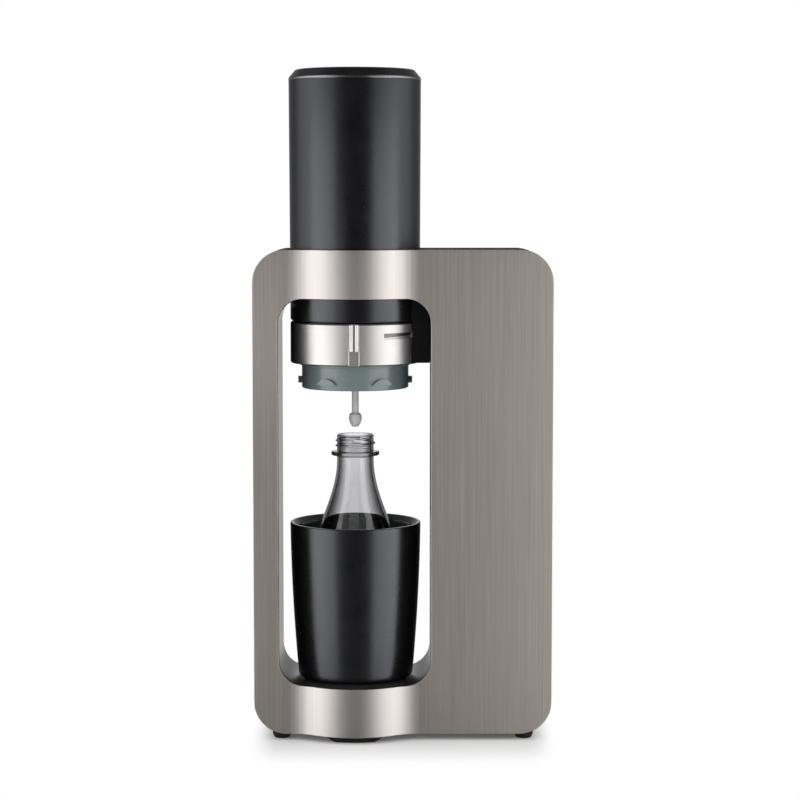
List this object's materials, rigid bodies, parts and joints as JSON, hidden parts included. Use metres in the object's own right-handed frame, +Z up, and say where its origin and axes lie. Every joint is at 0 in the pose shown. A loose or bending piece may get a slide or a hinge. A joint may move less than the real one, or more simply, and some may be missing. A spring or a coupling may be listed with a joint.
{
  "type": "sparkling water maker",
  "caption": "Home carbonator with a brushed metal frame, a sliding black tower with a steel lock ring and lance, and a glass bottle in a black holder.",
  "frame": {"origin": "on the floor under the middle of the body, tower raised", "axes": "+Z up, -Y towards the front, +X to the right seen from the front"},
  "size_m": [0.24, 0.116, 0.5386],
  "materials": {
    "brushed_metal": "vertically brushed, warm grey",
    "satin_black": "satin black",
    "black_plastic": "fine matt grain",
    "polished_steel": "polished",
    "liner_grey": "glossy dark grey",
    "pale_plastic": "satin light grey",
    "grey_plastic": "satin",
    "black_rubber": "matt",
    "clear_glass": "clear",
    "steel": "plain turned",
    "brass": "turned",
    "cylinder_paint": "satin",
    "valve_alloy": "die cast",
    "hose_black": "satin"
  },
  "bodies": {
    "frame": {"front_panel": "brushed_metal", "rear_panel": "brushed_metal", "column_shell": "black_plastic", "post": "black_plastic", "bridge": "black_plastic", "base_housing": "black_plastic", "base_cover": "black_plastic", "window_liner": "liner_grey", "tray": "black_rubber", "corner_feet": "black_rubber", "bulge_feet": "black_rubber", "base_screws": "steel", "guide_rods": "steel", "rod_blocks": "black_plastic", "lift_springs": "steel", "gas_cylinder": "cylinder_paint", "cylinder_valve": "brass", "cylinder_cradle": "black_plastic", "cylinder_clip": "black_plastic", "regulator": "valve_alloy", "regulator_bracket": "steel", "gas_hose": "hose_black", "door_sockets": "black_plastic"},
    "tower": {"tower_shell": "satin_black", "trim_ring": "polished_steel", "cap_ring": "satin_black", "head_core": "black_plastic", "bottle_seal": "black_rubber", "lance": "pale_plastic", "lance_nut": "brass", "dosing_valve": "brass", "relief_valve": "steel", "gas_tube": "hose_black", "arm": "black_plastic", "carriage": "black_plastic", "rod_bushes": "brass", "carriage_screws": "steel", "guide_pin": "steel", "retaining_ring": "steel", "button_spring": "steel"},
    "lock": {"lock_ring": "polished_steel", "bayonet_ring": "grey_plastic", "index_ribs": "polished_steel", "ring_screws": "steel"},
    "button": {"button_cap": "satin_black", "plunger": "steel"},
    "holder": {"cup": "satin_black", "cup_pad": "black_rubber", "bottle": "clear_glass"},
    "door": {"gas_door": "brushed_metal", "door_pegs": "black_plastic"}
  },
  "joints": [
    {"name": "tower_lift", "type": "slide", "parent": "frame", "child": "tower", "axis": [0, 0, 1], "range_m": [-0.13, 0], "stiffness_N_per_m": 40, "springref_m": 0.5, "deforming": ["lift_springs", "gas_hose"]},
    {"name": "lock_turn", "type": "hinge", "parent": "tower", "child": "lock", "pos_m": [-0.03875, 0, 0.32], "axis": [0, 0, 1], "range_deg": [0, 30]},
    {"name": "button_press", "type": "slide", "parent": "tower", "child": "button", "axis": [0, 0, -1], "range_m": [0, 0.005], "stiffness_N_per_m": 900, "springref_m": -0.006, "deforming": ["button_spring"]},
    {"name": "holder_out", "type": "slide", "parent": "frame", "child": "holder", "axis": [0, -1, 0], "range_m": [0, 0.125]},
    {"name": "door_off", "type": "slide", "parent": "frame", "child": "door", "axis": [0, 1, 0], "range_m": [0, 0.06]}
  ]
}
